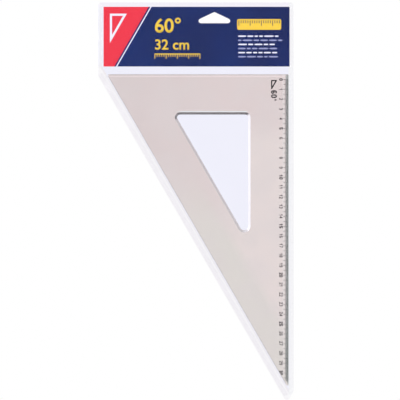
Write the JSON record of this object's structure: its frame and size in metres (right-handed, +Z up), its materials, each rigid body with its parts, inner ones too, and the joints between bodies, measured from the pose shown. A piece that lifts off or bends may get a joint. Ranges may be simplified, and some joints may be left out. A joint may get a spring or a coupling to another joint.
{
  "type": "set square in a hanging sleeve",
  "caption": "Clear set square with a centimetre scale and a triangular window, in a hanging film sleeve with a header card; square and card slide out upwards.",
  "frame": {"origin": "top of the hanging hole, where a peg bears, halfway through the thickness of the pack", "axes": "+Z up along the ruled edge as the pack hangs, +X to the right seen from the front, the printed front faces -Y"},
  "size_m": [0.2002, 0.0034, 0.4066],
  "materials": {
    "tinted_plastic": "clear polished plastic with a faint pink-grey tint",
    "black_ink": "matt black screen print",
    "printed_card": "smooth coated card, printed navy",
    "clear_film": "clear glossy film"
  },
  "bodies": {
    "sleeve": {"sleeve_front_film": "clear_film", "sleeve_back_film": "clear_film", "left_weld": "clear_film", "right_weld": "clear_film", "tip_weld": "clear_film", "slant_weld": "clear_film"},
    "header_card": {"header_card": "printed_card"},
    "set_square": {"set_square_plate": "tinted_plastic", "scale_ticks": "black_ink", "scale_numerals": "black_ink", "corner_mark": "black_ink"}
  },
  "joints": [
    {"name": "header_card_slide", "type": "slide", "parent": "sleeve", "child": "header_card", "axis": [0, 0, 1], "range_m": [0, 0.07]},
    {"name": "set_square_slide", "type": "slide", "parent": "sleeve", "child": "set_square", "axis": [0, 0, 1], "range_m": [0, 0.4]}
  ]
}
